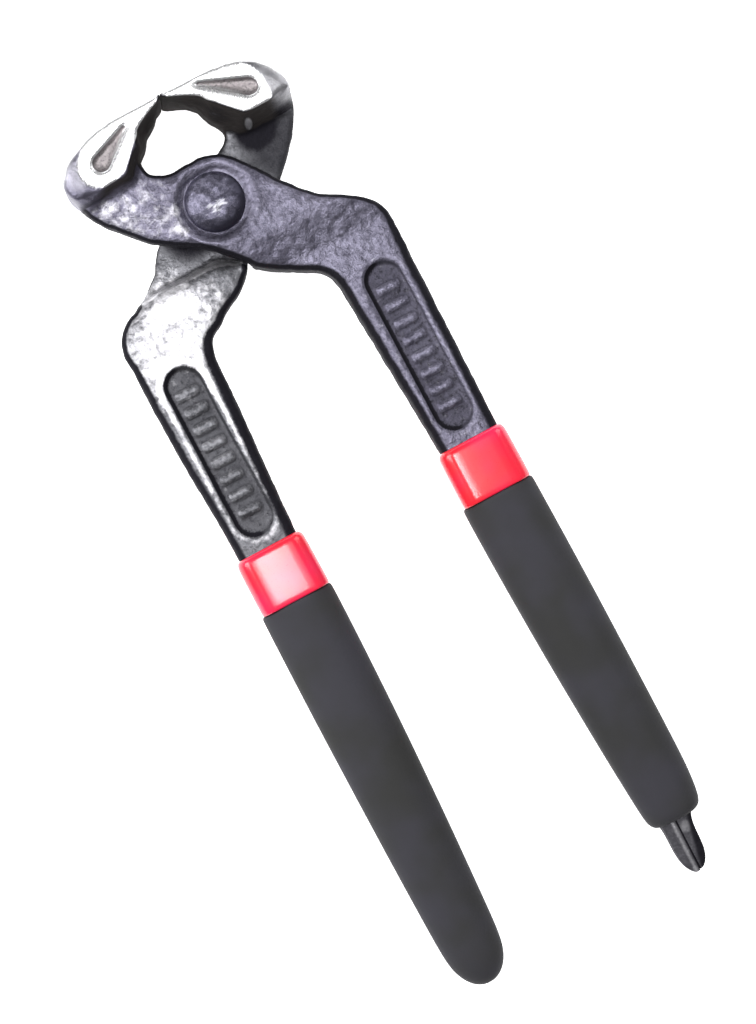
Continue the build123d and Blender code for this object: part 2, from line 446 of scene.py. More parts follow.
def from_pivot(thing: bpy.types.Object) -> np.ndarray:
    """The vertices' places from the pivot, one row each, in millimetres."""
    return (points(thing) - np.array(PIVOT)) / MM


def normals(thing: bpy.types.Object) -> np.ndarray:
    """The vertices' normals, one row each."""
    return per_vertex(thing, "normal")


def place_points(thing: bpy.types.Object, rows: np.ndarray) -> None:
    """Writes the vertices' places back."""
    thing.data.vertices.foreach_set("co", rows.reshape(-1))
    thing.data.update()


def keep_in_box(thing: bpy.types.Object, box: tuple) -> None:
    """Holds a mesh inside a box, given by its two corners."""
    place_points(thing, np.clip(points(thing), np.array(box[0]), np.array(box[1])))


def store(thing: bpy.types.Object, name: str, values: np.ndarray) -> None:
    """Stores one number per vertex as a mesh attribute."""
    layer = thing.data.attributes.new(name, "FLOAT", "POINT")
    layer.data.foreach_set("value", values.astype(np.float32))


def modify_where(thing: bpy.types.Object, share: np.ndarray, kind: str, **settings: object) -> None:
    """Adds a modifier that works on a part of the mesh only, and applies it.

    Args:
        thing: The object.
        share: How strongly the modifier works at each vertex, from 0 to 1.
        kind: The modifier's type.
        settings: Its properties.
    """
    levels = 50
    group = thing.vertex_groups.new(name="share")
    steps = np.round(np.clip(share, 0, 1) * levels).astype(int)
    for step in np.unique(steps):
        if step > 0:
            group.add(np.nonzero(steps == step)[0].tolist(), step / levels, "REPLACE")
    modify(thing, kind, vertex_group="share", **settings)
    thing.vertex_groups.clear()


def soften(thing: bpy.types.Object, share: np.ndarray, turns: int) -> None:
    """Smooths a part of a mesh by a number of turns."""
    modify_where(thing, share, "SMOOTH", factor=0.5, iterations=turns)


def dent(thing: bpy.types.Object, share: np.ndarray, texture: bpy.types.Texture,
         depth: float, middle: float) -> None:
    """Presses a texture into a part of a mesh.

    Args:
        thing: The object.
        share: How strongly it is pressed in at each vertex, from 0 to 1.
        texture: The texture.
        depth: Its depth in millimetres.
        middle: The texture's value that leaves the skin where it is.
    """
    modify_where(thing, share, "DISPLACE", texture=texture, strength=depth * MM,
                 mid_level=middle, texture_coords="LOCAL")


def copy_of_node(node: str, name: str) -> bpy.types.Object:
    """A free copy of a CAD node with its loose triangles joined.

    Args:
        node: The CAD node.
        name: The copy's name.

    Returns:
        The copy, with no parent and no materials.
    """
    piece = frame["nodes"][node].copy()
    piece.data = piece.data.copy()
    piece.name = name
    piece.data.name = name
    piece.parent = None
    piece.hide_viewport = False
    piece.hide_render = False
    for key in list(piece.keys()):
        del piece[key]
    bpy.context.collection.objects.link(piece)
    piece.data.materials.clear()
    only(piece)
    bpy.ops.object.mode_set(mode="EDIT")
    bpy.ops.mesh.select_all(action="SELECT")
    bpy.ops.mesh.remove_doubles(threshold=0.001 * MM)
    bpy.ops.object.mode_set(mode="OBJECT")
    return piece


def keep_side(piece: bpy.types.Object, y: float, above: bool) -> None:
    """Keeps one side of a level and caps the cut.

    Args:
        piece: The object.
        y: The level, in millimetres from the pivot.
        above: Whether what is above the level is kept, or what is below it.
    """
    only(piece)
    bpy.ops.object.mode_set(mode="EDIT")
    bpy.ops.mesh.select_all(action="SELECT")
    bpy.ops.mesh.bisect(plane_co=(0, PIVOT.y + y * MM, 0), plane_no=(0, 1, 0), use_fill=True,
                        clear_inner=above, clear_outer=not above)
    bpy.ops.object.mode_set(mode="OBJECT")


@dataclass(frozen=True)
class Band:
    """A soft threshold, over which a share changes smoothly between 0 and 1."""

    low: float
    high: float

    def rise(self, values: np.ndarray) -> np.ndarray:
        """The share that is 0 below the band and 1 above it."""
        share = np.clip((values - self.low) / (self.high - self.low), 0, 1)
        return share * share * (3 - 2 * share)

    def fall(self, values: np.ndarray) -> np.ndarray:
        """The share that is 1 below the band and 0 above it."""
        return 1 - self.rise(values)

    def holds(self, values: np.ndarray) -> np.ndarray:
        """Which values lie between the band's two ends."""
        return (values > self.low) & (values < self.high)


def outline_depth(plan: np.ndarray, outline: tuple) -> np.ndarray:
    """How far each point lies inside a closed outline, negative outside.

    Args:
        plan: Points in the plane, one row each.
        outline: The outline's corners.

    Returns:
        The signed distances, in the outline's units.
    """
    corners = np.array(outline, float)
    nearest = np.full(len(plan), np.inf)
    inside = np.zeros(len(plan), bool)
    for start, end in zip(corners, np.roll(corners, -1, axis=0)):
        run = end - start
        share = np.clip(((plan - start) @ run) / (run @ run), 0, 1)
        nearest = np.minimum(nearest, np.linalg.norm(plan - start - share[:, None] * run, axis=1))
        crosses = (start[1] > plan[:, 1]) != (end[1] > plan[:, 1])
        rise = np.where(run[1] == 0, 1e-12, run[1])
        at = start[0] + (plan[:, 1] - start[1]) * run[0] / rise
        inside ^= crosses & (plan[:, 0] < at)
    return np.where(inside, nearest, -nearest)


# -------- the forgings


class Side(Enum):
    """Which lever a piece belongs to; the value is the handle's side along X."""

    FRONT = 1
    REAR = -1

    @property
    def body(self) -> str:
        """The CAD body's name."""
        return self.name.lower()


@dataclass(frozen=True)
class Patch:
    """A soft round patch on a lever, in millimetres in the lever's own frame."""

    x: float
    y: float
    radius: float
    amount: float

    def share(self, own: np.ndarray) -> np.ndarray:
        """The patch's strength at each point."""
        away = np.hypot(own[:, 0] - self.x, own[:, 1] - self.y)
        return self.amount * Band(0.35 * self.radius, 1.35 * self.radius).fall(away)


def total(patches: tuple, own: np.ndarray) -> np.ndarray:
    """The strength of several patches together at each point."""
    return sum((patch.share(own) for patch in patches), np.zeros(len(own)))


FRONT_GROUND = ((-0.1, 25.2), (-1.3, 23.6), (-4.9, 22.1), (-9.8, 18.0), (-12.5, 15.2),
                (-14.0, 13.8), (-16.5, 13.0), (-19.0, 12.9), (-20.9, 13.6), (-22.3, 15.1),
                (-22.9, 17.2), (-22.4, 19.3), (-21.0, 21.3), (-19.0, 23.0), (-15.0, 24.8),
                (-8.0, 25.3))
REAR_GROUND = ((-0.1, 25.2), (-1.3, 23.6), (-4.9, 22.1), (-9.8, 18.0), (-12.5, 15.1),
               (-14.0, 13.6), (-16.9, 12.7), (-19.2, 12.6), (-20.7, 13.5), (-21.2, 15.1),
               (-21.1, 17.2), (-20.6, 19.4), (-19.5, 21.6), (-17.0, 24.3), (-13.0, 25.2),
               (-8.0, 25.4))


@dataclass
class Forging:
    """One lever: jaw, lap, crank and panelled shank.

    Sizes are in millimetres from the pivot, in the lever's own frame: x runs towards the side
    of its handle, y towards the jaws and z out of its half of the lap. A Band's values are
    lengths too, or parts of a unit where it works on a normal.
    """

    side: Side
    finish: ForgedSteel
    ground_outline: tuple
    pocket_point: tuple
    # Painted highlights as round patches.
    highlight_patches: tuple
    swells: tuple
    belly: Patch
    # Strength of the painted highlight on the panel's rim, of the painted shade on the panel's floor,
    # and how much the painted edge shade is lifted at the jaw's outer corner.
    rim_highlight: float
    panel_shade: float
    corner_light: float
    # Painted shadows as round patches, and painted glints that lift the shade.
    shadow_patches: tuple = ()
    glints: tuple = ()
    # How much wider the painted edge shade is where an edge faces +X.
    wider_band: float = 0.7
    # How finely the mesh is remeshed, and how long each part of it is smoothed.
    cell: float = 0.42
    round_turns: int = 36
    crest_turns: int = 110
    corner_turns: int = 60
    dent_size: float = 2.2
    dent_depth: float = 0.34
    # The jaw: its ground face, its pocket, its cutting edge and the hollow behind it.
    face_level: float = 9.0
    face_top: Band = Band(10.55, 10.8)
    face_edge: Band = Band(-0.1, 0.25)
    pocket_end: tuple = (-17.5, 17.7)
    pocket_radii: tuple = (0.2, 1.9)
    pocket_edge: Band = Band(-0.2, 0.1)
    edge_spare: float = 0.03
    edge_along: Band = Band(20.5, 22.5)
    edge_across: Band = Band(-3.0, -0.6)
    # Painted shade on the steep walls between the jaws: where it starts, where it ends towards the
    # back, and how steep.
    bite_start: float = 9.5
    bite_end: Band = Band(19.0, 22.0)
    bite_slope: Band = Band(0.0, 0.4)
    back_facing: Band = Band(0.3, 0.7)
    back_along: Band = Band(16.0, 20.0)
    back_level: Band = Band(9.0, 10.4)
    corner_along: Band = Band(9.5, 13.5)
    corner_across: Band = Band(12.0, 16.0)
    # The lap: the rivet's seat with its raised ring, and the step down to the shank.
    seat_level: float = 4.0
    seat_edge: Band = Band(8.2, 9.2)
    ring_level: float = 5.0
    ring_radius: float = 9.0
    ring_width: float = 0.9
    ring_height: float = 0.4
    step_across: Band = Band(0.5, 24.5)
    step_along: Band = Band(-15.5, -9.4)
    step_level: Band = Band(-4.9, 0.5)
    # Painted highlight on the step's sloping face.
    ramp_highlight: float = 0.6
    # The shank: its panel with the ribs.
    panel_centre: tuple = (24.1, -46.9)
    panel_half_run: float = 15.6
    panel_radius: float = 4.3
    panel_level: float = 3.0
    panel_edge: Band = Band(-0.3, 0.1)
    rib_top: Band = Band(3.72, 3.98)
    # Painted shade on the panel's wall, and a painted highlight on the rim round the panel.
    wall_width: Band = Band(0.4, 1.6)
    rim_start: Band = Band(0.0, 0.5)
    rim_end: Band = Band(1.1, 1.9)
    # The band of painted shade along the outline and on steep sides.
    lap_band: float = 0.9
    shank_band: float = 1.7
    shaded_slope: Band = Band(0.2, 0.7)

    def own_frame(self, rows: np.ndarray) -> np.ndarray:
        """Turns points into the lever's own frame.

        Args:
            rows: Points in the model's frame, in metres.

        Returns:
            Points from the pivot, in millimetres.
        """
        return self.own_ways(rows - np.array(PIVOT)) / MM

    def own_ways(self, ways: np.ndarray) -> np.ndarray:
        """Turns directions into the lever's own frame."""
        return ways * np.array((self.side.value, 1.0, self.side.value))

    def build(self) -> bpy.types.Object:
        """Makes the lever's visible mesh and dresses it.

        Returns:
            The finished piece.
        """
        node = f"{self.side.body}_lever"
        piece = copy_of_node(node, f"{self.side.body}_forging")
        keep_side(piece, CLAW_CUT, above=True)
        modify(piece, "REMESH", mode="VOXEL", voxel_size=self.cell * MM)
        self.round_edges(piece)
        self.ease_crest(piece)
        self.ease_corner(piece)
        self.swell(piece)
        if self.side is Side.FRONT:
            self.raise_seat_ring(piece)
        facing = normals(piece)
        self.dent_skin(piece)
        self.close_bite(piece)
        keep_in_box(piece, CAD_BOX)
        self.mask(piece, self.own_ways(facing))
        piece.data.materials.append(self.finish.material())
        only(piece)
        bpy.ops.object.shade_smooth()
        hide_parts(node)
        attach(piece, self.side.body)
        return piece

    def panel_depth(self, own: np.ndarray) -> np.ndarray:
        """How far points lie inside the panel's outline, in the plane.

        Args:
            own: Points in the lever's own frame.

        Returns:
            The depths in millimetres, negative outside.
        """
        run = np.abs(own[:, 1] - self.panel_centre[1])
        past = np.maximum(run - self.panel_half_run, 0)
        across = own[:, 0] - self.panel_centre[0]
        return self.panel_radius - np.hypot(across, past)

    def pocket_depth(self, own: np.ndarray) -> np.ndarray:
        """How far points lie inside the drop-shaped pocket's outline, in the plane.

        Args:
            own: Points in the lever's own frame.

        Returns:
            The depths in millimetres, negative outside.
        """
        start = np.array(self.pocket_point)
        run = np.array(self.pocket_end) - start
        share = np.clip(((own[:, :2] - start) @ run) / (run @ run), 0, 1)
        away = np.linalg.norm(own[:, :2] - start - share[:, None] * run, axis=1)
        point_radius, end_radius = self.pocket_radii
        return point_radius + (end_radius - point_radius) * share - away

    def ground_depth(self, own: np.ndarray) -> np.ndarray:
        """How far points lie inside the ground face's outline, in the plane."""
        return outline_depth(own[:, :2], self.ground_outline)

    def in_step(self, own: np.ndarray) -> np.ndarray:
        """Which points belong to the step between the lap and the shank."""
        x, y, z = own.T
        return self.step_across.holds(x) & self.step_along.holds(y) & self.step_level.holds(z)

    def crispness(self, own: np.ndarray) -> np.ndarray:
        """How crisp the edges stay: 1 on ground faces and on the cutting edge.

        Args:
            own: Points in the lever's own frame.

        Returns:
            One share for each point.
        """
        x, y, z = own.T
        ground = Band(-1.1, -0.2).rise(self.ground_depth(own)) * (np.abs(z) > self.face_level)
        edge = Band(20.0, 22.0).rise(y) * (np.abs(x) < 6.0)
        panel = 0.93 * Band(-1.2, -0.4).rise(self.panel_depth(own)) * (np.abs(z) > self.panel_level)
        seat = 0.9 * self.seat_edge.fall(np.hypot(x, y)) * (z > self.seat_level)
        return np.maximum.reduce((ground, edge, panel, seat))

    def round_edges(self, piece: bpy.types.Object) -> None:
        """Rounds the forging's edges, leaving what is ground crisp."""
        soften(piece, 1.0 - self.crispness(self.own_frame(points(piece))), self.round_turns)
        modify(piece, "SMOOTH", factor=0.5, iterations=3)

    def ease_crest(self, piece: bpy.types.Object) -> None:
        """Gives the step between lap and shank its wide forged radius.

        Args:
            piece: The lever.
        """
        x, y, z = self.own_frame(points(piece)).T
        near = Band(2.5, 5.5).fall(np.abs(y + 12.5))
        soften(piece, near * Band(1.5, 27.0).holds(x) * Band(-5.5, -1.2).holds(z), self.crest_turns)

    def ease_corner(self, piece: bpy.types.Object) -> None:
        """Rounds the jaw's outer corner beyond the ground face.

        Args:
            piece: The lever.
        """
        own = self.own_frame(points(piece))
        x, y, z = own.T
        outside = Band(0.6, 2.2).rise(-self.ground_depth(own))
        corner = Band(15.0, 19.0).rise(-x) * Band(7.0, 11.0).rise(y)
        soften(piece, outside * corner * Band(1.5, 4.0).rise(np.abs(z)), self.corner_turns)

    def swell(self, piece: bpy.types.Object) -> None:
        """Thickens or thins the forging sideways where it departs from its plain outline.

        Args:
            piece: The lever.
        """
        rows = points(piece)
        own = self.own_frame(rows)
        grow = total(self.swells, own)
        grow += self.belly.share(own) * Band(3.0, 9.5).fall(np.abs(own[:, 2]))
        rows[:, :2] += normals(piece)[:, :2] * (grow * MM)[:, None]
        place_points(piece, rows)

    def raise_seat_ring(self, piece: bpy.types.Object) -> None:
        """Raises the soft ring of metal round the rivet's seat, more on the left.

        Args:
            piece: The lever.
        """
        rows = points(piece)
        x, y, z = self.own_frame(rows).T
        away = np.hypot(x, y)
        ring = np.exp(-((away - self.ring_radius) / self.ring_width) ** 2) * (z > self.ring_level)
        left = 0.35 + 0.65 * Band(-0.4, 0.6).rise(-x / np.maximum(away, 1))
        rows[:, 2] += self.ring_height * MM * ring * left
        place_points(piece, rows)

    def dent_skin(self, piece: bpy.types.Object) -> None:
        """Presses the blasted forging's shallow dents into its skin.

        Args:
            piece: The lever.
        """
        texture = bpy.data.textures.new("forge_dents", "CLOUDS")
        texture.noise_scale = self.dent_size * MM
        texture.noise_depth = 2
        share = 1.0 - self.crispness(self.own_frame(points(piece)))
        dent(piece, share, texture, self.dent_depth, 0.5)

    def close_bite(self, piece: bpy.types.Object) -> None:
        """Brings the cutting edge up to its partner's, leaving a hair's breadth.

        Args:
            piece: The lever.
        """
        rows = points(piece)
        x, y, _ = self.own_frame(rows).T
        edge = self.edge_along.rise(y) * self.edge_across.rise(x)
        lack = -self.edge_spare - x[y > self.edge_along.high + 0.5].max()
        rows[:, 0] += self.side.value * lack * MM * edge
        place_points(piece, rows)

    def mask(self, piece: bpy.types.Object, facing: np.ndarray) -> None:
        """Stores what the finish reads: ground, pocket, painted shade between the jaws, painted
        shade, painted highlights and calm.

        Args:
            piece: The lever.
            facing: Its points' normals before the dents, in the lever's own frame.
        """
        own = self.own_frame(points(piece))
        x, y, z = own.T
        high = np.abs(z)
        slope = 1 - np.abs(normals(piece)[:, 2])
        face = self.face_top.rise(high)
        back = self.back_facing.rise(0.8 * facing[:, 1] - 0.6 * facing[:, 0])
        back = back * self.back_along.rise(y) * (0.4 + 0.6 * self.back_level.rise(high))
        ground = np.maximum(self.face_edge.rise(self.ground_depth(own)) * face, back)
        in_pocket = self.pocket_edge.rise(self.pocket_depth(own)) * (high > self.face_level)
        pocket = in_pocket * (1 - face)
        glint = total(self.glints, own)
        # Painted glints and painted shadows.
        painted_shadow = total(self.shadow_patches, own)
        # Painted shade on the steep walls between the jaws.
        bite_shade = (y > self.bite_start) * self.bite_slope.rise(slope - 0.3) * self.bite_end.fall(-x)
        corner = self.corner_along.rise(y) * self.corner_across.rise(-x)
        in_panel = self.panel_edge.rise(self.panel_depth(own)) * (high > self.panel_level)
        rib = in_panel * self.rib_top.rise(high) * (self.panel_depth(own) > 1.0)
        # Painted shade on steep sides and along the edges, lifted at the jaw's outer corner, and on
        # the panel's floor and wall, with the painted shadows.
        shaded_sides = np.maximum(self.shaded_slope.rise(slope) * (1 - self.in_step(own)),
                            self.edge_share(piece, own))
        shade = np.maximum.reduce((shaded_sides * (1 - self.corner_light * corner),
                                   self.panel_shade * in_panel * (1 - rib),
                                   in_panel * self.wall_shade(own), painted_shadow))
        # Painted highlights: round patches, the panel's rim and the step's slope.
        ramp = self.in_step(own) * Band(0.03, 0.3).rise(slope) * Band(19.0, 22.5).fall(x)
        painted_highlight = total(self.highlight_patches, own) * (1 - in_panel) + self.rim_highlight * self.rim_share(own)
        store(piece, "calm", np.minimum(np.maximum(corner, painted_shadow), 1.0)
              - 0.7 * in_panel * (1 - 0.7 * rib))
        store(piece, "ground", ground)
        store(piece, "pocket", pocket)
        store(piece, "bite_shade", bite_shade * (1 - ground) * (1 - pocket) * (1 - glint))
        store(piece, "shade", shade * (1 - glint))
        store(piece, "painted_highlight", np.maximum(painted_highlight, self.ramp_highlight * ramp))

    def wall_shade(self, own: np.ndarray) -> np.ndarray:
        """How dark the panel's wall is, more so on the left, away from the light.

        Args:
            own: Points in the lever's own frame.

        Returns:
            One share for each point.
        """
        beside = (own[:, 0] - self.panel_centre[0]) * self.side.value
        return self.wall_width.fall(self.panel_depth(own)) * (0.45 + 0.45 * Band(-1, 1).rise(-beside))

    def rim_share(self, own: np.ndarray) -> np.ndarray:
        """How strongly the painted highlight on the rim round the panel shows, less so towards the
        sleeve.

        Args:
            own: Points in the lever's own frame.

        Returns:
            One share for each point.
        """
        outside = -self.panel_depth(own)
        rim = self.rim_start.rise(outside) * self.rim_end.fall(outside)
        rim = rim * (np.abs(own[:, 2]) > self.panel_level)
        return rim * (1 - 0.35 * Band(46.0, 64.0).rise(-own[:, 1]))

    def edge_share(self, piece: bpy.types.Object, own: np.ndarray) -> np.ndarray:
        """How much of the painted shade band along the outline lies on each point, from 0 to 1, wider
        where the edge faces +X.

        Args:
            piece: The lever.
            own: Its points in the lever's own frame.

        Returns:
            The shares.
        """
        facing = normals(piece)
        upright = (np.abs(facing[:, 2]) < 0.25) & ~self.in_step(own)
        share = np.zeros(len(own))
        for way in (1, -1):
            on_this_face = way * own[:, 2] > 1.0
            edges = np.nonzero(upright & on_this_face)[0]
            tree = KDTree(len(edges))
            for index in edges:
                tree.insert((own[index][0], own[index][1], 0.0), int(index))
            tree.balance()
            for index in np.nonzero(on_this_face)[0]:
                _, nearest, away = tree.find((own[index][0], own[index][1], 0.0))
                to_the_right = max(float(facing[nearest][0]), 0.0)
                low = min(max((-own[index][1] - 12.0) / 14.0, 0.0), 1.0)
                width = self.lap_band + (self.shank_band - self.lap_band) * low
                width += self.wider_band * to_the_right * low
                share[index] = 1 - min(max((away / width - 0.45) / 0.75, 0.0), 1.0)
        return share


@dataclass
class Claw:
    """The nail claw at the open end of the front handle. Sizes in millimetres."""

    finish: ForgedSteel
    cell: float = 0.16
    slit_x: float = 25.0
    # Painted shade in the slit.
    slit_width: Band = Band(0.1, 0.3)
    closing: float = 0.27
    round_turns: int = 14
    ridge_height: float = 0.35
    ridge_aside: float = -0.9
    bared: Band = Band(160.0, 164.0)
    # A painted highlight spot.
    highlight_spot: Patch = Patch(26.5, -164.8, 1.7, 0.42)

    def build(self) -> bpy.types.Object:
        """Makes the claw's visible mesh and dresses it.

        Returns:
            The finished piece.
        """
        piece = copy_of_node("front_lever", "front_claw")
        keep_side(piece, CLAW_CUT, above=False)
        modify(piece, "REMESH", mode="VOXEL", voxel_size=self.cell * MM)
        by_slit = np.abs(from_pivot(piece)[:, 0] - self.slit_x)
        soften(piece, Band(0.5, 1.4).rise(by_slit), self.round_turns)
        self.shape_ridge(piece)
        keep_in_box(piece, CAD_BOX)
        self.mask(piece)
        piece.data.materials.append(self.finish.material())
        only(piece)
        bpy.ops.object.shade_smooth()
        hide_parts("front_lever")
        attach(piece, "front")
        return piece

    def shape_ridge(self, piece: bpy.types.Object) -> None:
        """Narrows the slit and draws the claw's faces up to a ridge beside it.

        Args:
            piece: The claw.
        """
        rows = points(piece)
        x, y, z = from_pivot(piece).T
        aside = x - self.slit_x
        bared = self.bared.rise(-y)
        ridge = np.exp(-((aside - self.ridge_aside) / 0.7) ** 2)
        rows[:, 0] -= np.sign(aside) * self.closing * MM * Band(0.35, 1.3).fall(np.abs(aside))
        rows[:, 2] += np.sign(z) * self.ridge_height * MM * ridge * bared
        rows[:, 2] -= z * MM * 0.3 * Band(1.4, 3.8).rise(np.abs(aside)) * bared
        place_points(piece, rows)

    def mask(self, piece: bpy.types.Object) -> None:
        """Stores the painted highlight on the ridge and beside it, and the painted shade in the slit,
        on the right half and on the edges.

        Args:
            piece: The claw.
        """
        own = from_pivot(piece)
        aside = own[:, 0] - self.slit_x
        slope = 1 - np.abs(normals(piece)[:, 2])
        ridge = np.exp(-((aside - self.ridge_aside) / 0.6) ** 2)
        # Painted shade on the right half of the claw.
        right = Band(1.2, 3.2).rise(aside - (own[:, 1] + 163.0) * 0.2)
        for name in ("ground", "pocket", "bite_shade", "calm"):
            store(piece, name, np.zeros(len(own)))
        store(piece, "painted_highlight", 0.45 * ridge + self.highlight_spot.share(own))
        store(piece, "shade", np.maximum.reduce((self.slit_width.fall(np.abs(aside)), 0.7 * right,
                                                 Band(0.5, 0.9).rise(slope))))


@dataclass
class Rivet:
    """The pivot rivet with its hammered dome. Sizes in millimetres from the meeting plane."""

    finish: HammeredSteel
    segments: int = 96
    profile: tuple = ((0.35, -8.2), (1.6, -8.12), (3.0, -7.85), (4.2, -7.4), (5.0, -6.95),
                      (5.35, -6.7), (5.3, -6.6), (4.0, -6.6), (4.0, 5.9), (6.3, 5.9), (6.5, 6.0),
                      (6.48, 6.2), (6.3, 6.7), (5.95, 7.2), (5.4, 7.7), (4.7, 8.1), (3.85, 8.45),
                      (2.9, 8.7), (1.8, 8.83), (0.9, 8.88), (0.3, 8.9))
    blow_size: float = 2.4
    blow_depth: float = 0.5
    # The way towards the side that carries the painted shade.
    lee_way: tuple = (0.615, -0.788)
    # The place and reach of the painted glint.
    glint_place: tuple = (-0.4, -1.2)
    glint_reach: Band = Band(0.6, 3.6)

    def build(self) -> bpy.types.Object:
        """Makes the rivet ring by ring and dresses it.

        Returns:
            The finished piece.
        """
        first_radius, first_z = self.profile[0]
        bpy.ops.object.select_all(action="DESELECT")
        bpy.ops.mesh.primitive_circle_add(vertices=self.segments, radius=first_radius * MM,
                                          fill_type="NGON",
                                          location=PIVOT + Vector((0, 0, first_z)) * MM)
        piece = bpy.context.object
        piece.name = "rivet_body"
        piece.data.name = piece.name
        bpy.ops.object.transform_apply(location=True, rotation=True, scale=True)
        bpy.ops.object.mode_set(mode="EDIT")
        bpy.ops.mesh.select_all(action="SELECT")
        for before, after in zip(self.profile, self.profile[1:]):
            rise = Vector((0, 0, after[1] - before[1])) * MM
            grow = after[0] / before[0]
            bpy.ops.mesh.extrude_region_move(TRANSFORM_OT_translate={"value": rise})
            bpy.ops.transform.resize(value=(grow, grow, 1.0), center_override=PIVOT)
        bpy.ops.mesh.select_all(action="SELECT")
        bpy.ops.mesh.normals_make_consistent(inside=False)
        bpy.ops.object.mode_set(mode="OBJECT")
        modify(piece, "SUBSURF", levels=1, render_levels=1)
        self.hammer(piece)
        keep_in_box(piece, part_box("pivot_rivet"))
        self.mask(piece)
        piece.data.materials.append(self.finish.material())
        only(piece)
        bpy.ops.object.shade_smooth_by_angle(angle=SOFT_ANGLE)
        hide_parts("pivot_rivet")
        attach(piece, "front")
        return piece

    def hammer(self, piece: bpy.types.Object) -> None:
        """Leaves the hammer's blows on the dome and on the peened end.

        Args:
            piece: The rivet.
        """
        x, y, z = from_pivot(piece).T
        ends = (np.abs(z) > 6.9) * Band(4.6, 6.3).fall(np.hypot(x, y))
        texture = bpy.data.textures.new("hammer_blows", "VORONOI")
        texture.noise_scale = self.blow_size * MM
        dent(piece, ends, texture, self.blow_depth, 0.7)

    def mask(self, piece: bpy.types.Object) -> None:
        """Stores the painted glint on the dome and the painted shade on its lower right flank and
        rim.

        Args:
            piece: The rivet.
        """
        x, y, _ = from_pivot(piece).T
        glint_x, glint_y = self.glint_place
        store(piece, "painted_highlight", self.glint_reach.fall(np.hypot(x - glint_x, y - glint_y)))
        away = np.maximum(np.hypot(x, y), 0.01)
        lee = (x * self.lee_way[0] + y * self.lee_way[1]) / away
        flank_shade = Band(3.6, 5.4).rise(away) * Band(-0.5, 0.6).rise(lee)
        rim = Band(5.9, 6.4).rise(away) * (0.1 + 0.9 * Band(-0.6, 0.3).rise(lee))
        store(piece, "shade", np.maximum(flank_shade, rim))


# -------- ring-by-ring solids


@dataclass(frozen=True)
class Ring:
    """A rounded section across a handle, in millimetres from the pivot."""

    y: float
    inner_x: float
    outer_x: float
    thickness: float


@dataclass
class RingSolid:
    """A bored body drawn out ring by ring along a handle, as collars and sleeves are."""

    side: Side
    name: str
    finish: SleevePlastic
    rings: tuple
    bore_places: tuple
    corner: float
    through: bool
    levels: int
    corner_segments: int = 7
    spare: float = 0.08

    def centre(self, ring: Ring) -> Vector:
        """The ring's middle in the model's frame."""
        x = self.side.value * (ring.inner_x + ring.outer_x) / 2
        return PIVOT + Vector((x, ring.y, 0.0)) * MM

    def draw(self) -> bpy.types.Object:
        """Extrudes the first ring through all the others, along the outside and back inside.

        Returns:
            The closed, smoothed and coloured mesh, at the model's origin.
        """
        first = self.rings[0]
        bpy.ops.object.select_all(action="DESELECT")
        bpy.ops.mesh.primitive_plane_add(size=1.0, location=self.centre(first),
                                         rotation=(math.pi / 2, 0, 0))
        piece = bpy.context.object
        piece.name = self.name
        piece.data.name = self.name
        piece.scale = ((first.outer_x - first.inner_x) * MM, first.thickness * MM, 1.0)
        bpy.ops.object.transform_apply(location=True, rotation=True, scale=True)
        bpy.ops.object.mode_set(mode="EDIT")
        bpy.ops.mesh.select_all(action="SELECT")
        bpy.ops.mesh.bevel(offset=self.corner * first.thickness * MM, affect="VERTICES",
                           segments=self.corner_segments)
        bpy.ops.mesh.select_all(action="SELECT")
        path = self.rings + tuple(shank_ring(y, self.spare) for y in self.bore_places)
        for before, after in zip(path, path[1:]):
            self.extrude(before, after)
        if self.through:
            self.join_ends()
        bpy.ops.mesh.select_all(action="SELECT")
        bpy.ops.mesh.normals_make_consistent(inside=False)
        bpy.ops.object.mode_set(mode="OBJECT")
        modify(piece, "SUBSURF", levels=self.levels, render_levels=self.levels)
        piece.data.materials.append(self.finish.material())
        only(piece)
        bpy.ops.object.shade_smooth_by_angle(angle=SOFT_ANGLE)
        return piece

    def extrude(self, before: Ring, after: Ring) -> None:
        """Extrudes the selected end face from one ring to the next.

        Args:
            before: The ring that the face is at.
            after: The ring that it goes to.
        """
        move = self.centre(after) - self.centre(before)
        grow_x = (after.outer_x - after.inner_x) / (before.outer_x - before.inner_x)
        grow_z = after.thickness / before.thickness
        bpy.ops.mesh.extrude_region_move(TRANSFORM_OT_translate={"value": move})
        bpy.ops.transform.resize(value=(grow_x, 1.0, grow_z), center_override=self.centre(after))

    def join_ends(self) -> None:
        """Opens both end faces and bridges the outer rim to the bore's rim."""
        bpy.ops.mesh.delete(type="ONLY_FACE")
        bpy.ops.mesh.select_all(action="DESELECT")
        bpy.ops.mesh.select_mode(type="FACE")
        bpy.ops.mesh.select_face_by_sides(number=4, type="GREATER", extend=False)
        bpy.ops.mesh.delete(type="ONLY_FACE")
        bpy.ops.mesh.select_mode(type="EDGE")
        bpy.ops.mesh.select_non_manifold(extend=False)
        bpy.ops.mesh.bridge_edge_loops()


SHANK = (
    Ring(-28.0, 15.3, 31.9, 9.0),
    Ring(COLLAR_START, 17.6, 31.2, 9.0),
    Ring(COLLAR_END, 17.9, 31.0, 9.0),
    Ring(-130.0, 20.0, 30.2, 7.4),
    Ring(SLEEVE_END, 21.5, 29.0, 5.6),
)


